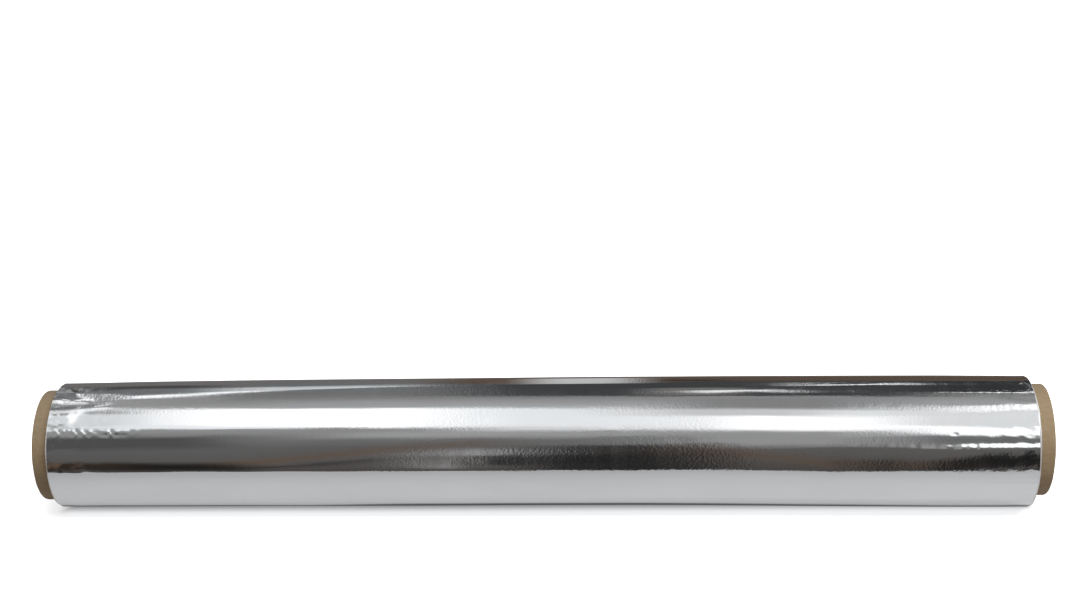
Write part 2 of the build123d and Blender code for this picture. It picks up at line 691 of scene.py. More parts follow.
@dataclass
class FoilWinding:
    """The wound foil: its outermost turn, that turn's loose tail, and the turns below.

    Attributes:
        size: The roll's sizes.
        film: Thickness that the loose tail is drawn with.
        shell: Thickness of the outermost turn's ring.
        wander: How far the turns below stray past the outer ones at each end.
        tail_angle: Where the free edge of the strip lies.
        tail_step: Height of that edge.
        tail_lift: How far the edge stands off where it has puckered.
        tail_sweep: Stretch of the last turn, back from the edge, that lies loose.
        belly: How much thicker the winding is at its fullest than at its ends.
        fullest: Where along the roll it is fullest.
        swelling: How far it stands out there past its nominal radius.
        shoulder: How much the turns draw in close to both ends.
        unroundness: Height of the broad swells that soft turns have.
        tension: Height of the long narrow swells that run along the roll.
        ripple: Height of the crumpling near both ends.
        slump: How far the turns have slipped down at the right end.
        shoulder_reach: How far from the ends the turns draw in.
        crumple_reach: How far from the ends the foil is crumpled.
        flutter_reach: How far from the ends its edge flutters.
        hollow: How much deeper than its shell the outermost turn's ring is closed.
        slack: Gap between that ring and the turns below.
        columns: Points along the outermost turn.
        hidden_columns: Those at each end that close its ring.
        rows: Points around it.
        tail_rows: Points along the loose tail's sweep.
        turns: Turns that show at each end.
        segments: Points around each of those turns.
    """

    size: RollSize
    film: float = 0.04
    shell: float = 0.12
    wander: float = 0.5
    tail_angle: float = -25.0
    tail_step: float = 0.15
    tail_lift: float = 0.35
    tail_sweep: float = 26.0
    belly: float = 0.55
    fullest: float = 25.0
    swelling: float = 0.2
    shoulder: float = 0.2
    unroundness: float = 0.36
    tension: float = 0.09
    ripple: float = 0.2
    slump: float = 1.2
    shoulder_reach: float = 34.0
    crumple_reach: float = 26.0
    flutter_reach: float = 7.0
    hollow: float = 0.5
    slack: float = 0.05
    columns: int = 258
    hidden_columns: int = 3
    rows: int = 379
    tail_rows: int = 30
    turns: int = 58
    segments: int = 181

    def width(self) -> float:
        """Return the width of the foil strip."""
        return self.size.envelope_width - 2 * self.wander

    def relief_values(self) -> dict[str, float]:
        """Collect the relief group's inputs that stay the same all over the roll.

        Returns:
            Their values by name.
        """
        return {
            "Width": self.width(), "Belly": self.belly, "Fullest": self.fullest, "Swelling": self.swelling,
            "Shoulder": self.shoulder, "Unroundness": self.unroundness, "Tension": self.tension,
            "Ripple": self.ripple, "Slump": self.slump,
        }

    def relief_group(self) -> bpy.types.NodeTree:
        """Build the group that says how far the wound foil strays from a plain spiral.

        Returns:
            A group that takes a place along the roll, an angle around it and the relief's sizes. It puts
            out the broad form, the whole rise, and how far the foil's edge strays along the roll.
        """
        inputs = {"Along": 0.0, "Angle": 0.0, **self.relief_values()}
        outputs = ["Form", "Rise", "Stray"]
        graph, field, end = group_graph("Foil relief", "GeometryNodeTree", inputs, outputs)
        x, angle = field["Along"], field["Angle"]
        across, up = graph.cosine(angle), graph.sine(angle)
        place = (x, across, up)
        half_width = field["Width"] * 0.5
        from_end = half_width - x.size()

        # Broad form: fullest near the middle, drawn in at both ends, and settled flat underneath.
        from_fullest = (x - field["Fullest"]) / half_width
        barrel = field["Swelling"] - from_fullest * from_fullest * field["Belly"]
        drawn_in = graph.between(from_end, self.shoulder_reach, 0.0) * field["Shoulder"]
        barrel = barrel - drawn_in * (up * 0.5 + 0.5)
        swell = graph.noise_around(place, length=120.0, lobes=1.15, seed=7.7)
        form = barrel * (up * 0.45 + 0.55) + swell * field["Unroundness"]
        is_low = graph.between(up, 0.2, -0.85)
        form = form + is_low * (graph.between(x, 20.0, 150.0) * field["Slump"] - field["Slump"] * 0.3)

        # Long swells that winding tension leaves, and the crumpling of the two ends.
        streak = graph.noise_around(place, length=62.0, lobes=5.5, seed=4.2, detail=2.5)
        fine_streak = graph.noise_around(place, length=26.0, lobes=15.0, seed=1.4, detail=1.5)
        near_end = graph.between(from_end, self.crumple_reach, 0.0)
        at_edge = graph.between(from_end, self.flutter_reach, 0.0)
        crumple = graph.noise_around(place, length=6.5, lobes=5.0, seed=6.1, detail=3.0)
        flutter = graph.noise_around(place, length=5.0, lobes=11.0, seed=3.3, detail=2.0)
        rise = form + streak * field["Tension"] + fine_streak * field["Tension"] * 0.22
        rise = rise + crumple * near_end * field["Ripple"] + flutter * at_edge * field["Ripple"] * 0.7
        stray = graph.noise(graph.vector(across * 2.6, up * 2.6, x / 60.0), 8.8, detail=3.0)
        graph.feed(end, {"Form": form, "Rise": rise, "Stray": stray * at_edge * 0.7})
        return graph.tree

    def relief(self, graph: Graph, field: dict[str, Field], x: Field, angle: Field) -> bpy.types.Node:
        """Place the relief group in a tree.

        Args:
            graph: The tree's graph.
            field: The tree's inputs, among them the relief's sizes.
            x: Places along the roll.
            angle: Angles around it.

        Returns:
            The group's node.
        """
        group = bpy.data.node_groups.get("Foil relief") or self.relief_group()
        sizes = {name: field[name] for name in self.relief_values()}
        return graph.node("GeometryNodeGroup", {"Along": x, "Angle": angle, **sizes}, node_tree=group)

    def waver(self, graph: Graph, x: Field) -> Field:
        """Return how many degrees the strip's free edge runs out of true at each place along it."""
        return graph.noise(graph.vector(x / 38.0, 0.0, 0.0), 2.9, detail=2.0) * 2.6 + x * 0.0022

    def closer_at_ends(self, graph: Graph, share: Field) -> Field:
        """Space points from 0 to 1 more closely towards both ends."""
        return share - graph.sine(share * 360.0) * (0.62 / math.tau)

    def outer_turn_tree(self, values: dict) -> bpy.types.NodeTree:
        """Build the tree that winds the outermost turn as a closed ring, one step lower under its tail.

        Args:
            values: The tree's inputs by name.

        Returns:
            The geometry tree.
        """
        graph, field, end = group_graph("Outermost turn", "GeometryNodeTree", values, ["Geometry"])
        columns = field["Columns"]
        grid, across, turn = graph.sheet(columns, field["Rows"])

        # Along the roll: the hidden columns at each end run back inside the ring and close it.
        column = graph.number(across, columns)
        rank = column.at_most(columns - 1.0 - column)
        is_inner = 1.0 - rank.above(self.hidden_columns - 0.5)
        is_sunk = 1.0 - rank.above(self.hidden_columns - 1.5)
        is_seam = 1.0 - rank.above(self.hidden_columns - 2.5)
        seen_gaps = columns - (2.0 * self.hidden_columns + 1.0)
        share = ((column - float(self.hidden_columns)) / seen_gaps).at_least(0.0).at_most(1.0)
        x = field["Width"] * (self.closer_at_ends(graph, share) - 0.5) * (1.0 - is_seam)
        x = x * (1.0 - is_sunk * 0.06)

        # Around it: a spiral that drops by one step under the loose tail.
        angle = field["Tail Angle"] + turn * 360.0 + self.waver(graph, x)
        is_under_tail = 1.0 - (turn * 360.0).above(field["Tail Sweep"])
        relief = self.relief(graph, field, x, angle)
        radius = field["Radius"] - field["Tail Step"] * (turn + is_under_tail) + graph.out(relief, "Rise")
        radius = radius - field["Shell"] * is_inner - field["Hollow"] * is_sunk
        place = (x + graph.out(relief, "Stray"), radius, angle)
        wind_grid(graph, grid, place, field, end, floor=is_inner * 0.02)
        return graph.tree

    def loose_tail_tree(self, values: dict) -> bpy.types.NodeTree:
        """Build the tree for the last stretch of the strip, whose free edge stands off the roll.

        Args:
            values: The tree's inputs by name.

        Returns:
            The geometry tree.
        """
        graph, field, end = group_graph("Loose tail", "GeometryNodeTree", values, ["Geometry"])
        columns, half_rows = field["Columns"], field["Half Rows"]
        rows = half_rows * 2.0 + 1.0
        grid, across, down = graph.sheet(columns, rows)
        column, row = graph.number(across, columns), graph.number(down, rows)
        rank = column.at_most(columns - 1.0 - column)
        x = field["Width"] * (self.closer_at_ends(graph, across) - 0.5)

        # The rows run out along the top from the root to the free edge, and back underneath.
        back = (row / half_rows - 1.0).size()
        is_underside = row.above(half_rows + 0.5)
        overlap = 1.1
        turn = back * field["Tail Sweep"] * (overlap / 360.0)
        angle = field["Tail Angle"] + turn * 360.0 + self.waver(graph, x)
        relief = self.relief(graph, field, x, angle)
        pucker = graph.noise(graph.vector(x / 17.0, 0.0, 0.0), 5.8, detail=2.0).at_least(-0.1) + 0.25
        corner = graph.between(field["Width"] * 0.5 - x.size(), 9.0, 0.0)
        loose = (1.0 - back * overlap).at_least(0.0)
        lift = loose * loose * (pucker + corner) * field["Tail Lift"]
        clearance, tucked_in = 0.006, 0.08
        root = graph.between(back, 0.935, 1.0) * tucked_in
        radius = field["Radius"] - field["Tail Step"] * turn + graph.out(relief, "Rise") + lift
        radius = radius + clearance - root - field["Film"] * is_underside * rank.above(0.5)
        place = (x + graph.out(relief, "Stray"), radius, angle)
        wind_grid(graph, grid, place, field, end)
        return graph.tree

    def turn_edges_tree(self, values: dict) -> bpy.types.NodeTree:
        """Build the tree for the turns below the outermost: a closed ring with a step for each one's edge.

        Args:
            values: The tree's inputs by name.

        Returns:
            The geometry tree.
        """
        graph, field, end = group_graph("Turn edges", "GeometryNodeTree", values, ["Geometry"])
        turns = field["Turns"]
        points = turns * 4.0 + 3.0
        grid, outward, turned = graph.sheet(points, field["Segments"])
        step = graph.number(outward, points)
        angle = turned * 360.0
        across, up = graph.cosine(angle), graph.sine(angle)

        # The section runs out over the turns' edges at the right end, sinks and crosses to the left end,
        # runs back in there, and closes on itself.
        is_closing = step.above(turns * 4.0 + 1.5)
        is_left = step.above(turns * 2.0 + 0.5) * (1.0 - is_closing)
        is_sunk = step.above(turns * 2.0 - 0.5) * (1.0 - step.above(turns * 2.0 + 1.5))
        count = graph.choose(is_left, turns * 4.0 + 1.0 - step, step) * (1.0 - is_closing)
        count = count.at_most(turns * 2.0 - 1.0)
        this_turn = graph.math("FLOOR", count * 0.5 + 0.1)
        share = (this_turn + (count - this_turn * 2.0)) / turns
        side = 1.0 - is_left * 2.0
        half_width = field["Width"] * 0.5
        relief = self.relief(graph, field, side * half_width, angle)
        outside = field["Radius"] + graph.out(relief, "Form")
        radius = field["Bore Radius"] + (outside - field["Bore Radius"]) * share - is_sunk * 0.6
        seed = 3.0 + is_left * 5.0
        drift = graph.noise_around((this_turn, across, up), length=9.0, lobes=0.35, seed=seed)
        jitter = graph.noise(graph.vector(this_turn * 1.37, across * 1.2, up * 1.2), seed, detail=2.0)
        place = (share, across, up)
        patchy = graph.noise_around(place, length=1.0, lobes=1.6, seed=seed + 2.0, detail=2.0)
        outermost = graph.between(share, 0.72, 0.98)
        stray = drift * 1.7 + jitter * 0.45 + outermost * (0.95 + patchy * 2.2 - is_left * 0.25)
        x = half_width + stray.at_least(-1.0).at_most(1.25) * field["Wander"] - is_sunk * 7.0
        wind_grid(graph, grid, (x * side, radius, angle), field, end, floor=0.03)
        return graph.tree

    def creases(self) -> list[Crease]:
        """List the folds and ridges that handling and winding have left.

        Returns:
            The creases, each from the values of its row in the order of its fields.
        """
        left, right = -self.width() / 2, self.width() / 2
        rows = (
            # folds that fan out from the left end
            ((left - 9, 119.5), (left + 22, 112.5), 0.20, 1.2, 0.8),
            ((left - 8, 128.5), (left + 12, 119.0), 0.16, 2.2, 0.9),
            ((left - 6, 103.5), (left + 14, 107.6), 0.26, 1.5, 0.7),
            ((left - 6, 114.0), (left + 18, 110.5), -0.10, 1.2, 0.8),
            ((left + 3, 87.0), (left + 8, 100.0), 0.07, 1.0, 0.8),
            ((left - 1.5, 97.5), (left + 5.5, 108.5), 0.14, 0.9, 0.9),
            ((left - 2, 133.5), (left + 9.5, 124.0), 0.10, 1.6, 1.2),
            ((left - 5, 137.6), (left + 34, 138.9), 0.13, 0.7, 0.7, 0.85),
            ((left - 5, 140.5), (left + 31, 141.0), 0.14, 0.6, 0.6, 0.85),
            ((left - 5, 143.0), (left + 26, 144.0), 0.07, 0.8, 0.9, 0.5),
            ((left - 4, 153.0), (left + 13, 152.0), 0.05, 0.8, 1.4),
            ((left - 6, 93.0), (left + 26, 96.0), 0.10, 1.5, 1.0),
            # long tension ridges along the top
            ((left - 4, 102.0), (left + 165, 87.0), 0.08, 1.2, 2.0),
            ((left + 10, 104.0), (left + 60, 101.5), 0.10, 1.6, 1.2),
            ((50, 99.7), (112, 92.0), 0.045, 0.9, 1.3),
            ((96, 103.0), (right + 14, 104.4), 0.07, 0.5, 0.9, 0.25),
            ((40, 96.5), (120, 91.0), 0.05, 0.8, 1.2, 0.3),
            ((-40, 90.0), (60, 88.0), 0.05, 0.8, 1.5),
            # folds at the right end
            ((106, 158.0), (right + 40, 157.4), 0.36, 1.25, 17.0),
            ((86, 155.6), (right - 2, 155.8), 0.07, 0.9, 0.9, 0.8),
            ((129, 189.6), (right + 16, 190.4), 0.06, 0.4, 0.8),
            ((118, 200.0), (right + 10, 197.5), 0.05, 0.8, 1.5),
            ((133, 130.5), (right + 10, 131.6), -0.12, 1.2, 1.2),
            ((right - 26.3, 143.5), (right - 24.9, 145.6), -0.09, 0.3, 0.3),
            ((right - 14, 114.0), (right + 7, 117.0), 0.09, 1.1, 1.5),
            ((right - 30, 117.5), (right + 5, 119.0), 0.04, 0.9, 1.0, 0.15),
            ((right - 3, 86.0), (right - 0.5, 99.0), 0.12, 0.8, 0.9),
            ((82, 203.0), (94, 177.0), 0.05, 2.0, 2.0),
            # small dents where the stippled zones meet the light
            ((-8, 139.5), (42, 139.0), 0.035, 0.8, 0.9, 0.9),
            ((30, 147.0), (62, 150.0), 0.035, 0.8, 0.9, 0.9),
            ((-46, 167.0), (-6, 166.0), 0.03, 0.9, 1.0, 0.8),
            ((84, 118.0), (right - 12, 115.8), 0.035, 0.9, 0.9, 0.9),
            # the unseen side has a few of the same kind
            ((left - 6, 38.0), (left + 30, 31.0), 0.12, 1.2, 0.8),
            ((-60, 52.0), (70, 47.0), 0.06, 1.4, 0.9),
            ((right - 40, 24.0), (right + 9, 29.0), 0.12, 0.9, 1.6),
            ((right - 22, 56.0), (right + 8, 52.0), 0.12, 0.8, 1.0),
            ((-20, 12.0), (right - 45, 8.0), 0.06, 0.9, 1.2),
        )
        return [Crease(*row) for row in rows]

    def press_marks(self, piece: bpy.types.Object) -> None:
        """Press the creases into a piece of the outermost turn.

        Args:
            piece: The piece, whose mesh is changed.
        """
        mesh = piece.data
        points = np.empty(len(mesh.vertices) * 3, dtype=np.float64)
        mesh.vertices.foreach_get("co", points)
        points = points.reshape(-1, 3) / MM
        y, z = points[:, 1], points[:, 2] - self.size.axis_height
        radius = np.hypot(y, z)
        around = np.degrees(np.arctan2(z, y)) % 360.0
        rise = np.zeros(len(points))
        for crease in self.creases():
            rise += crease.rise(points[:, 0], around, self.size.foil_radius)
        scale = 1.0 + rise / radius
        points[:, 1] = y * scale
        points[:, 2] = np.maximum(z * scale + self.size.axis_height, 0.0)
        mesh.vertices.foreach_set("co", (points * MM).ravel())
        mesh.update()

    def build(self, groups: Groups) -> list[bpy.types.Object]:
        """Make the foil's pieces.

        Args:
            groups: The shared shader groups.

        Returns:
            The outermost turn, its loose tail and the turns below it.
        """
        bright = Finish.BRIGHT_FOIL.value.build(groups)
        edges = Finish.TURN_EDGES.value.build(groups)
        size = self.size
        shared = {"Axis Height": size.axis_height, **self.relief_values()}
        strip = {
            "Radius": size.foil_radius, "Tail Angle": self.tail_angle, "Tail Step": self.tail_step,
            "Tail Sweep": self.tail_sweep, "Material": bright, **shared,
        }
        ring = {"Columns": self.columns, "Rows": self.rows, "Shell": self.shell, "Hollow": self.hollow}
        tail = {
            "Columns": self.columns - 2 * self.hidden_columns, "Half Rows": self.tail_rows,
            "Film": self.film, "Tail Lift": self.tail_lift,
        }
        below = {
            "Turns": self.turns, "Segments": self.segments, "Bore Radius": size.core_radius + 0.02,
            "Radius": size.foil_radius - self.tail_step - self.shell - self.slack, "Wander": self.wander,
            "Material": edges,
        }
        pieces = [
            piece_from_tree(name, make_tree(values), values)
            for name, make_tree, values in (
                ("outer_turn", self.outer_turn_tree, {**strip, **ring}),
                ("loose_tail", self.loose_tail_tree, {**strip, **tail}),
                ("wound_turns", self.turn_edges_tree, {**shared, **below}),
            )
        ]
        for piece in pieces[:2]:
            self.press_marks(piece)
            shade(piece, sharp_above=48.0)
        shade(pieces[2], sharp_above=35.0)
        return pieces


# ---- Core ----


@dataclass(frozen=True)
class Ply:
    """One strip of paper in the core.

    Attributes:
        name: Its piece's name.
        finish: Its finish.
        start: Where around the core its seam crosses the middle.
    """

    name: str
    finish: Finish
    start: float


@dataclass
class PaperCore:
    """The core: strips of paper wound and glued as spirals, then cut square at both ends.

    Attributes:
        size: The roll's sizes.
        pitch: How far a seam moves along the core in one turn.
        gap: Width of the seams.
        glue: Depth of the joint between plies.
        steps: Points around one turn.
        softening: Rounding of the cut rims.
        fuzz: Unevenness of the cut rims.
    """

    size: RollSize
    pitch: float = 71.0
    gap: float = 0.35
    glue: float = 0.02
    steps: int = 96
    softening: float = 0.3
    fuzz: float = 0.05

    def plies(self) -> list[Ply]:
        """List the core's strips.

        Returns:
            The plies from the inside out.
        """
        return [
            Ply("core_inner_ply", Finish.INNER_PAPER, 244.0),
            Ply("core_second_ply", Finish.INNER_PAPER, 334.0),
            Ply("core_third_ply", Finish.OUTER_PAPER, 64.0),
            Ply("core_outer_ply", Finish.OUTER_PAPER, 154.0),
        ]

    def ply_tree(self, values: dict) -> bpy.types.NodeTree:
        """Build the tree that winds one strip of paper, longer than the core at both ends.

        Args:
            values: The tree's inputs by name.

        Returns:
            The geometry tree.
        """
        graph, field, end = group_graph("Spiral ply", "GeometryNodeTree", values, ["Geometry"])
        profile_points = 9
        grid, across, along = graph.sheet(profile_points, field["Steps"])

        # The section is a flat box: points 0 to 5 run over its outer face, 6 and 7 under it, 8 is 0 again.
        soft_edge = 0.12
        point = graph.number(across, profile_points)
        point = point * (1.0 - point.above(7.5))
        is_under = point.above(5.5)
        half = (field["Pitch"] - field["Gap"]) * 0.5
        rank = point.at_most(5.0)
        from_side = rank.at_most(5.0 - rank)
        inset = from_side.at_most(1.0) * soft_edge + (from_side - 1.0).at_least(0.0) * half * 0.6
        over_x = (rank.above(2.5) * 2.0 - 1.0) * (half - inset)
        under_x = (13.0 - point * 2.0) * half
        over_depth = (1.0 - from_side.at_most(1.0)) * soft_edge
        depth = graph.choose(is_under, field["Thickness"], over_depth)

        # It winds about the axis by one pitch for each turn.
        turned = (along - 0.5) * field["Turns"]
        angle = turned * 360.0 + field["Start"]
        x = turned * field["Pitch"] + graph.choose(is_under, under_x, over_x)
        wind_grid(graph, grid, (x, field["Radius"] - depth, angle), field, end)
        return graph.tree

    def cut_square(self, piece: bpy.types.Object) -> None:
        """Cut a ply off at both ends of the core and soften its cut rims.

        Args:
            piece: The ply, whose mesh is changed.
        """
        half = self.size.core_length / 2 * MM
        shape = bmesh.new()
        shape.from_mesh(piece.data)
        rim_rows = (0.0, 0.08, self.softening * 1.6)
        for side in (-1, 1):
            for inset in rim_rows:
                is_rim = inset == 0.0
                cut = bmesh.ops.bisect_plane(
                    shape,
                    geom=shape.verts[:] + shape.edges[:] + shape.faces[:],
                    plane_co=(side * (half - inset * MM), 0, 0),
                    plane_no=(side, 0, 0),
                    clear_outer=is_rim,
                )
                if is_rim:
                    rim = [e for e in cut["geom_cut"] if isinstance(e, bmesh.types.BMEdge)]
                    bmesh.ops.triangle_fill(
                        shape, use_beauty=True, use_dissolve=False, edges=rim, normal=(side, 0, 0)
                    )
        axis = self.size.axis_height * MM
        for vertex in shape.verts:
            self.soften(vertex, half, axis)
        bmesh.ops.triangulate(shape, faces=[f for f in shape.faces if len(f.verts) > 4])
        bmesh.ops.recalc_face_normals(shape, faces=shape.faces[:])
        shape.to_mesh(piece.data)
        shape.free()

    def soften(self, vertex: bmesh.types.BMVert, half: float, axis: float) -> None:
        """Round the rim at one point and let the cut edge stray a little.

        Args:
            vertex: The point to move.
            half: Half of the core's length in metres.
            axis: Height of the core's axis in metres.
        """
        from_end = (half - abs(vertex.co.x)) / MM
        if from_end > self.softening:
            return
        angle = math.atan2(vertex.co.z - axis, vertex.co.y)
        radius = math.hypot(vertex.co.y, vertex.co.z - axis) / MM
        to_edge = 1 - from_end / self.softening
        worn = self.softening * (1 - math.sqrt(max(0.0, 1 - to_edge**2)))
        skin = 0.06
        if radius > self.size.core_radius - skin:
            radius -= worn
        elif radius < self.size.bore_radius + skin:
            radius += worn
        stray = math.sin(angle * 7 + radius * 9) + 0.6 * math.sin(angle * 17 + radius * 23)
        pull = self.fuzz * (0.8 + 0.5 * stray) * to_edge
        vertex.co.x -= math.copysign(max(pull, 0.0) * MM, vertex.co.x)
        vertex.co.y = radius * MM * math.cos(angle)
        vertex.co.z = axis + radius * MM * math.sin(angle)

    def build(self, groups: Groups) -> list[bpy.types.Object]:
        """Make the core's plies.

        Args:
            groups: The shared shader groups.

        Returns:
            One piece for each ply, from the inside out.
        """
        papers = {
            finish: finish.value.build(groups) for finish in (Finish.INNER_PAPER, Finish.OUTER_PAPER)
        }
        plies = self.plies()
        thickness = (self.size.core_radius - self.size.bore_radius) / len(plies)
        turns = math.ceil(self.size.core_length / self.pitch) + 2
        values = {
            "Steps": turns * self.steps + 1, "Turns": float(turns), "Radius": self.size.core_radius,
            "Thickness": thickness - self.glue, "Pitch": self.pitch, "Gap": self.gap, "Start": 0.0,
            "Axis Height": self.size.axis_height, "Material": papers[Finish.OUTER_PAPER],
        }
        tree = self.ply_tree(values)
        pieces = []
        for index, ply in enumerate(plies):
            values["Radius"] = self.size.bore_radius + thickness * (index + 1)
            values["Start"] = ply.start
            values["Material"] = papers[ply.finish]
            piece = piece_from_tree(ply.name, tree, values)
            self.cut_square(piece)
            shade(piece, sharp_above=40.0)
            pieces.append(piece)
        return pieces


# ---- Studio ----


@dataclass(frozen=True)
class Viewpoint:
    """The camera's place.

    Attributes:
        azimuth: How far round to the right of the front it stands.
        elevation: How steeply it looks down.
        tilt: How far it leans about its own line of sight.
        lens: Focal length in millimetres on a 36 mm wide sensor.
        distance: Distance from the roll along the line of sight.
        drop: How far below the line of sight the roll lies, as a share of that distance.
    """

    azimuth: float = 2.5
    elevation: float = 26.0
    tilt: float = -1.6
    lens: float = 56.7
    distance: float = 541.0
    drop: float = 0.0811

    def build(self, axis_height: float) -> None:
        """Make the scene's camera.

        Args:
            axis_height: Height of the roll's axis.
        """
        turn, pitch, lean = map(math.radians, (self.azimuth, self.elevation, self.tilt))
        level = Vector((math.cos(turn), math.sin(turn), 0.0))
        forward = Vector((-math.sin(turn), math.cos(turn), 0.0))
        ahead = math.cos(pitch) * forward - math.sin(pitch) * Vector((0.0, 0.0, 1.0))
        upright = level.cross(ahead)
        right = math.cos(lean) * level + math.sin(lean) * upright
        up = right.cross(ahead)
        target = Vector((0.0, 0.0, axis_height))
        spot = target - self.distance * (ahead - self.drop * up)
        data = bpy.data.cameras.new("camera")
        data.lens = self.lens
        data.sensor_width = 36.0
        data.clip_start = 0.01
        data.clip_end = 50.0
        camera = bpy.data.objects.new("camera", data)
        pose = Matrix((right, up, -ahead)).transposed().to_4x4()
        camera.matrix_world = Matrix.Translation(spot * MM) @ pose
        bpy.context.scene.collection.objects.link(camera)
        bpy.context.scene.camera = camera


@dataclass(frozen=True)
class Surrounding:
    """A lamp, wall or piece of furniture that polished metal mirrors, as a soft-edged patch of the room.

    Attributes:
        along: Where its middle is along the roll's length, as the sine of its direction.
        angle: Where its middle is, counted from the front over the top.
        reach: Half of its extent along the roll's length, and how softly it ends there.
        spread: Half of its extent in degrees, and how softly it ends there.
        colour: Its brightness.
        slope: Degrees by which its middle climbs for one unit along.
    """

    along: float
    angle: float
    reach: tuple[float, float]
    spread: tuple[float, float]
    colour: tuple[float, float, float]
    slope: float = 0.0

    def paint(self, graph: Graph, room: Field, along: Field, angle: Field) -> Field:
        """Lay the patch over the room.

        Args:
            graph: The world's graph.
            room: The room's colour so far.
            along: Each direction's place along the roll's length.
            angle: Each direction's angle.

        Returns:
            The room's colour with the patch.
        """
        off_along = (along - self.along).size()
        off_angle = (angle - self.angle - (along - self.along) * self.slope).size()
        (reach, soft_end), (spread, soft_side) = self.reach, self.spread
        mask = graph.between(off_along, reach + soft_end, reach - soft_end)
        mask = mask * graph.between(off_angle, spread + soft_side, spread - soft_side)
        return graph.mix(mask, room, self.colour)


def grey(level: float, warmth: float = 0.0) -> tuple[float, float, float]:
    """Return a grey, or a brown where warmth is above 0 and a cool grey where it is below."""
    return (level, level * (1 - 0.28 * warmth), level * (1 - 0.45 * warmth))


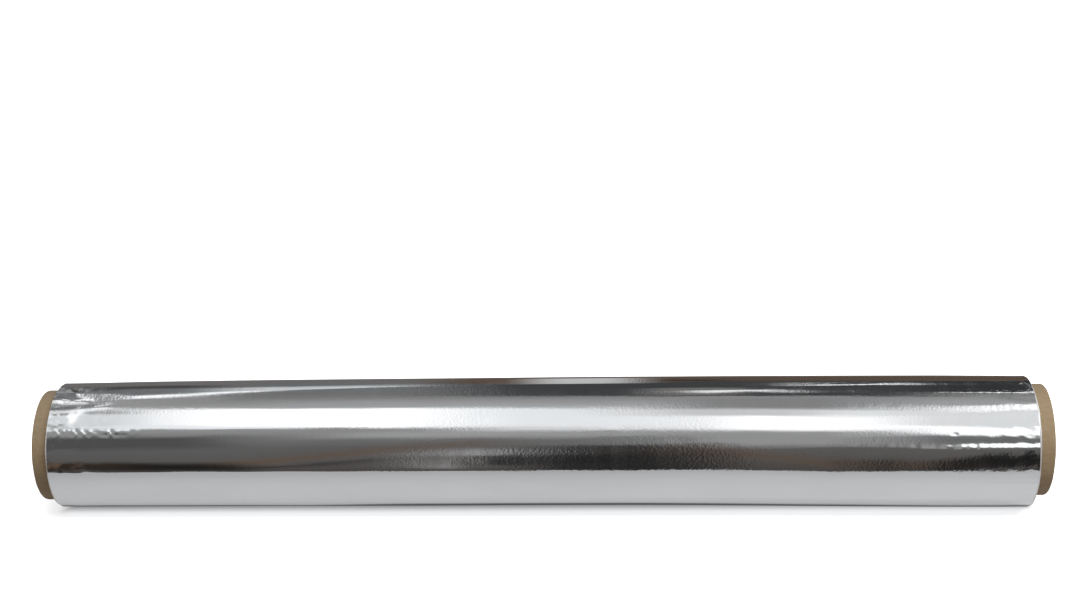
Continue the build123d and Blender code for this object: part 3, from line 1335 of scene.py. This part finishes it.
@dataclass(frozen=True)
class Studio:
    """A pale floor under a broad soft light, in a darker room that only polished metal mirrors.

    Attributes:
        floor_size: Width of the floor.
        floor_brightness: Share of light that the floor returns to the camera.
        floor_bounce: Share of light that it returns to matt surfaces.
        painted_floor_glow: Glow painted on the floor for the camera, next to the roll and away from it; the
            weaker glow next to the roll paints a contact shadow.
        mirrored_floor: Share of light that it returns to polished metal, near the roll and far from it.
        painted_mirrored_glow: Glow painted on the floor that only polished metal mirrors, a painted
            reflection; it is lifted a little near the roll and cut off along the contact, which paints the
            contact shadow that the foil mirrors.
        light_mat: Half-length and half-depth of the floor that polished metal mirrors.
        sky_top: Colour of the light from overhead.
        sky_side: Colour of the light from the sides.
        lamp_power: Power of the softbox in watts.
    """

    floor_size: float = 8000.0
    floor_brightness: float = 0.93
    floor_bounce: tuple[float, float, float] = (0.34, 0.26, 0.165)
    painted_floor_glow: tuple[float, float] = (0.2, 0.72)
    mirrored_floor: tuple[float, float] = (0.23, 0.12)
    painted_mirrored_glow: float = 0.272
    light_mat: tuple[float, float] = (260.0, 75.0)
    sky_top: tuple[float, float, float] = (0.33, 0.32, 0.31)
    sky_side: tuple[float, float, float] = (0.10, 0.075, 0.05)
    lamp_power: float = 20.5

    def backdrop(self) -> list[tuple]:
        """Describe the bare room.

        Returns:
            Pairs of an angle, counted from the front over the top, and the room's colour there.
        """
        return [
            (-30, grey(0.060, 0.3)), (-12, grey(0.080, 0.3)), (0, grey(0.100, 0.2)), (12, grey(0.108, 0.1)),
            (22, grey(0.118, 0.1)), (32, grey(0.145)), (42, grey(0.19)), (50, grey(0.26)), (58, grey(0.30)),
            (92, grey(0.42, -0.1)), (98, grey(0.36, -0.1)), (104, grey(0.33)), (110, grey(0.285)),
            (115, grey(0.24)), (121, grey(0.19)), (127, grey(0.16)), (140, grey(0.15, -0.2)),
            (152, grey(0.14, -0.2)), (165, grey(0.15)), (180, grey(0.15, 0.2)), (210, grey(0.17, 0.1)),
        ]

    def surroundings(self) -> list[Surrounding]:
        """List what stands and hangs around the roll.

        Returns:
            The patches in the order they are painted, each from the values of its row.
        """
        rows = (
            # the broad ceiling light, brighter over two stretches, dim beyond the left end
            (0.020, 47.0, (0.090, 0.040), (4.5, 5.0), grey(0.48)),
            (0.165, 45.5, (0.045, 0.030), (5.0, 3.0), grey(0.55)),
            (0.000, 70.5, (1.0, 0.1), (18.0, 3.0), grey(0.86, -0.08), -38.0),
            (-0.180, 76.1, (0.075, 0.045), (18.5, 2.5), grey(1.25), -42.0),
            (-0.270, 62.5, (0.080, 0.020), (3.0, 2.5), grey(0.90, -0.08), -38.0),
            (0.120, 61.5, (0.050, 0.035), (13.0, 3.5), grey(1.25), -42.0),
            (0.175, 62.5, (0.040, 0.030), (8.5, 3.5), grey(1.10), -42.0),
            (0.075, 80.5, (0.060, 0.030), (7.0, 4.0), grey(0.60), -60.0),
            (-0.345, 80.0, (0.045, 0.030), (17.0, 4.0), grey(0.66, -0.1)),
            (-0.430, 88.0, (0.070, 0.040), (18.0, 5.0), grey(1.10)),
            (-0.020, 51.5, (0.060, 0.030), (4.5, 4.0), grey(0.72, -0.05)),
            (0.235, 65.0, (0.060, 0.030), (26.0, 3.0), grey(0.74, -0.06)),
            (0.225, 46.5, (0.060, 0.020), (7.0, 3.0), grey(1.2), -60.0),
            (0.262, 88.0, (0.040, 0.012), (6.5, 2.5), grey(1.2)),
            (-0.312, 94.0, (0.018, 0.010), (5.0, 2.5), grey(0.31)),
            # the ceiling behind it: a dark gap, a beam, tube lamps and a brown shelf
            (0.100, 100.0, (0.055, 0.030), (11.0, 4.0), grey(0.23)),
            (0.060, 141.5, (0.145, 0.03), (25.0, 1.5), grey(0.050, -0.2), -35.0),
            (0.052, 129.0, (0.030, 0.015), (10.0, 2.0), grey(0.165, 0.1)),
            (0.082, 126.8, (0.030, 0.013), (1.9, 1.6), grey(0.95), -45.0),
            (0.150, 150.0, (0.030, 0.022), (3.0, 2.6), grey(1.25), -50.0),
            (0.235, 142.5, (0.050, 0.02), (18.5, 2.0), grey(0.030, -0.2)),
            (0.246, 124.6, (0.024, 0.014), (3.0, 1.5), grey(1.45)),
            (0.100, 176.0, (0.200, 0.03), (14.0, 2.0), grey(0.100, 1.0)),
            (0.040, 168.0, (0.030, 0.02), (3.0, 2.0), grey(0.020, 0.3), -60.0),
            (-0.015, 171.0, (0.030, 0.02), (13.0, 3.0), grey(0.52)),
            (-0.278, 125.5, (0.021, 0.012), (9.5, 3.5), grey(1.40, -0.05), 110.0),
            (-0.228, 138.5, (0.026, 0.014), (7.5, 3.5), grey(1.30, -0.05), 330.0),
            (-0.175, 151.0, (0.055, 0.02), (4.5, 3.0), grey(0.64, -0.1), 90.0),
            (-0.270, 160.0, (0.040, 0.02), (7.0, 3.0), grey(0.065, 0.2)),
            (-0.345, 153.0, (0.032, 0.012), (12.0, 5.0), grey(0.31)),
            # the front of the room: a dark figure in the middle, a pale wall and brown wood
            (-0.300, 33.0, (0.070, 0.030), (10.0, 5.0), grey(0.078)),
            (-0.060, 43.0, (0.110, 0.030), (5.0, 4.0), grey(0.33)),
            (0.110, 34.0, (0.070, 0.030), (14.0, 6.0), grey(0.30)),
            (0.010, -3.0, (0.052, 0.012), (27.0, 4.0), grey(0.018)),
            (-0.012, 0.0, (0.020, 0.015), (7.0, 5.0), grey(0.008)),
            (0.100, 1.0, (0.055, 0.012), (5.5, 3.5), grey(0.115, 1.1), -350.0),
            (0.240, -8.0, (0.080, 0.018), (12.0, 4.0), grey(0.010), 150.0),
            (-0.160, 11.5, (0.085, 0.015), (4.0, 4.0), grey(0.120, 1.0), 248.0),
            (-0.165, -4.0, (0.060, 0.020), (2.5, 3.0), grey(0.045, 0.3), 200.0),
            (-0.260, -11.0, (0.045, 0.015), (8.0, 5.0), grey(0.016, 0.4)),
            (-0.315, -8.0, (0.030, 0.010), (7.0, 5.0), grey(0.030, 0.9)),
            (-0.345, -5.0, (0.018, 0.006), (5.0, 4.0), grey(0.110, 1.2)),
            (-0.080, 14.0, (0.014, 0.009), (6.0, 5.0), grey(0.36)),
            (-0.101, -1.0, (0.012, 0.009), (15.0, 4.0), grey(0.26, 0.1)),
            (-0.061, -1.5, (0.017, 0.010), (8.5, 3.5), grey(0.018)),
        )
        return [Surrounding(*row) for row in rows]

    def build_world(self) -> None:
        """Make the world: white to the camera, a soft sky to matt surfaces, a room to polished ones."""
        world = bpy.data.worlds.new("studio")
        bpy.context.scene.world = world
        world.use_nodes = True
        world.cycles.sampling_method = "NONE"
        graph = Graph(world.node_tree)
        world.node_tree.nodes.clear()
        coordinates = graph.node("ShaderNodeTexCoord")
        along, back, up = graph.split(graph.out(coordinates, "Generated"))
        angle = graph.math("ARCTAN2", up, back * -1.0) * (180 / math.pi)
        angle = angle + (1.0 - angle.above(-90.0)) * 360.0
        drift = graph.noise(graph.vector(along * 9.0, angle / 40.0, 0.0), 3.7, detail=2.0)
        angle = angle + drift * 5.0
        low, high = self.backdrop()[0][0], self.backdrop()[-1][0]
        stops = [((place - low) / (high - low), colour) for place, colour in self.backdrop()]
        room = graph.ramp((angle - low) / float(high - low), stops)
        for thing in self.surroundings():
            room = thing.paint(graph, room, along, angle)
        sky = graph.mix(graph.between(up, -0.1, 0.9), self.sky_side, self.sky_top)
        rays = graph.node("ShaderNodeLightPath")
        colour = graph.mix(graph.out(rays, "Is Glossy Ray"), sky, room)
        colour = graph.mix(graph.out(rays, "Is Camera Ray"), colour, (1.0, 1.0, 1.0))
        background = graph.node("ShaderNodeBackground", {"Color": colour, "Strength": 1.0})
        graph.node("ShaderNodeOutputWorld", {"Surface": graph.out(background)})

    def build_floor(self, foil_width: float) -> None:
        """Make the floor.

        Args:
            foil_width: Length of the roll's contact with the floor.
        """
        half = self.floor_size / 2 * MM
        mesh = bpy.data.meshes.new("floor")
        outline = [(-half, -half, 0.0), (half, -half, 0.0), (half, half, 0.0), (-half, half, 0.0)]
        mesh.from_pydata(outline, [], [(0, 1, 2, 3)])
        floor = bpy.data.objects.new("floor", mesh)
        bpy.context.scene.collection.objects.link(floor)
        graph, shader = new_material("pale_floor", Roughness=1.0, Specular_IOR_Level=0.0)
        x, y, _ = graph.split(millimetre_place(graph))
        from_axis, from_middle = y.size(), x.size()
        half_length, half_depth = self.light_mat
        narrowing = graph.between(x, 60.0, 118.0) * 8.5
        on_mat = graph.between(from_axis + narrowing, half_depth + 1.5, half_depth - 1.5)
        on_mat = on_mat * graph.between(from_middle, half_length + 40.0, half_length - 40.0)
        mirrored = graph.between(from_axis, 20.0, 72.0, self.mirrored_floor)
        rays = graph.node("ShaderNodeLightPath")
        is_glossy = graph.out(rays, "Is Glossy Ray")
        is_camera = graph.out(rays, "Is Camera Ray")
        whole = self.floor_brightness
        brightness = graph.mix(is_camera, self.floor_bounce, (whole, whole, whole))
        brightness = graph.mix(is_glossy, brightness, graph.vector(mirrored, mirrored, mirrored))
        # Painted light: the floor glows to the camera. The glow is weaker in a band along the roll's
        # contact, which paints a contact shadow there, and full again past the foil's ends.
        past_end = graph.between(from_middle, foil_width / 2 - 2.0, foil_width / 2 + 4.0)
        clear = graph.between(from_axis, 5.0, 10.5).at_least(past_end)
        low, high = self.painted_floor_glow
        glow = (clear * (high - low) + low) * is_camera
        # Painted reflection: a glow that only polished metal sees. It is lifted a little near the roll and
        # cut off along the contact, which paints the shadow that the foil mirrors. The cut-off band is
        # thinner near the left end.
        painted_contact_shading = graph.between(from_axis, 17.5, 13.0, (1.0, 1.38))
        painted_shadow_shift = graph.between(x, -42.0, -80.0) * 1.9
        painted_contact_shading = painted_contact_shading * graph.between(from_axis + painted_shadow_shift, 10.0, 12.4, (0.15, 1.0))
        glow = glow + is_glossy * painted_contact_shading * self.painted_mirrored_glow
        graph.feed(shader, {
            "Base Color": brightness, "Emission Color": graph.vector(glow * 0.985, glow, glow * 1.02),
            "Emission Strength": 1.0, "Alpha": 1.0 - is_glossy * (1.0 - on_mat),
        })
        mesh.materials.append(bpy.data.materials["pale_floor"])

    def build_softbox(self) -> None:
        """Make the overhead softbox, which shapes matt surfaces and the shadow but isn't mirrored."""
        data = bpy.data.lights.new("softbox", "AREA")
        data.shape = "RECTANGLE"
        data.size = 1.2
        data.size_y = 0.5
        data.energy = self.lamp_power
        lamp = bpy.data.objects.new("softbox", data)
        lamp.location = (0.45, -0.40, 1.0)
        lamp.rotation_euler = (math.radians(-15.0), 0.0, 0.0)
        lamp.visible_glossy = False
        bpy.context.scene.collection.objects.link(lamp)

    def build(self, foil_width: float) -> None:
        """Make the whole studio.

        Args:
            foil_width: Length of the roll's contact with the floor.
        """
        self.build_world()
        self.build_floor(foil_width)
        self.build_softbox()
        bpy.context.scene.view_settings.view_transform = "Standard"


# ---- Assembly ----


def fit_to_frame(pieces: Sequence[bpy.types.Object], node: str) -> None:
    """Let pieces ride on the roll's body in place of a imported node.

    Args:
        pieces: The pieces that stand for the node together.
        node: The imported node.
    """
    for piece in pieces:
        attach(piece, "root")
        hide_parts(node)
        LOG.info("%s: %d faces, for %s", piece.name, len(piece.data.polygons), node)


def main() -> None:
    """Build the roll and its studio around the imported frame."""
    logging.basicConfig(level=logging.INFO, format="%(name)s: %(message)s")
    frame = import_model()
    size = RollSize.from_frame(frame["record"])
    Viewpoint().build(size.axis_height)
    winding = FoilWinding(size)
    Studio().build(winding.width())
    groups = Groups()
    fit_to_frame(PaperCore(size).build(groups), "core_tube")
    fit_to_frame(winding.build(groups), "foil_winding")


if __name__ == "__main__":
    main()
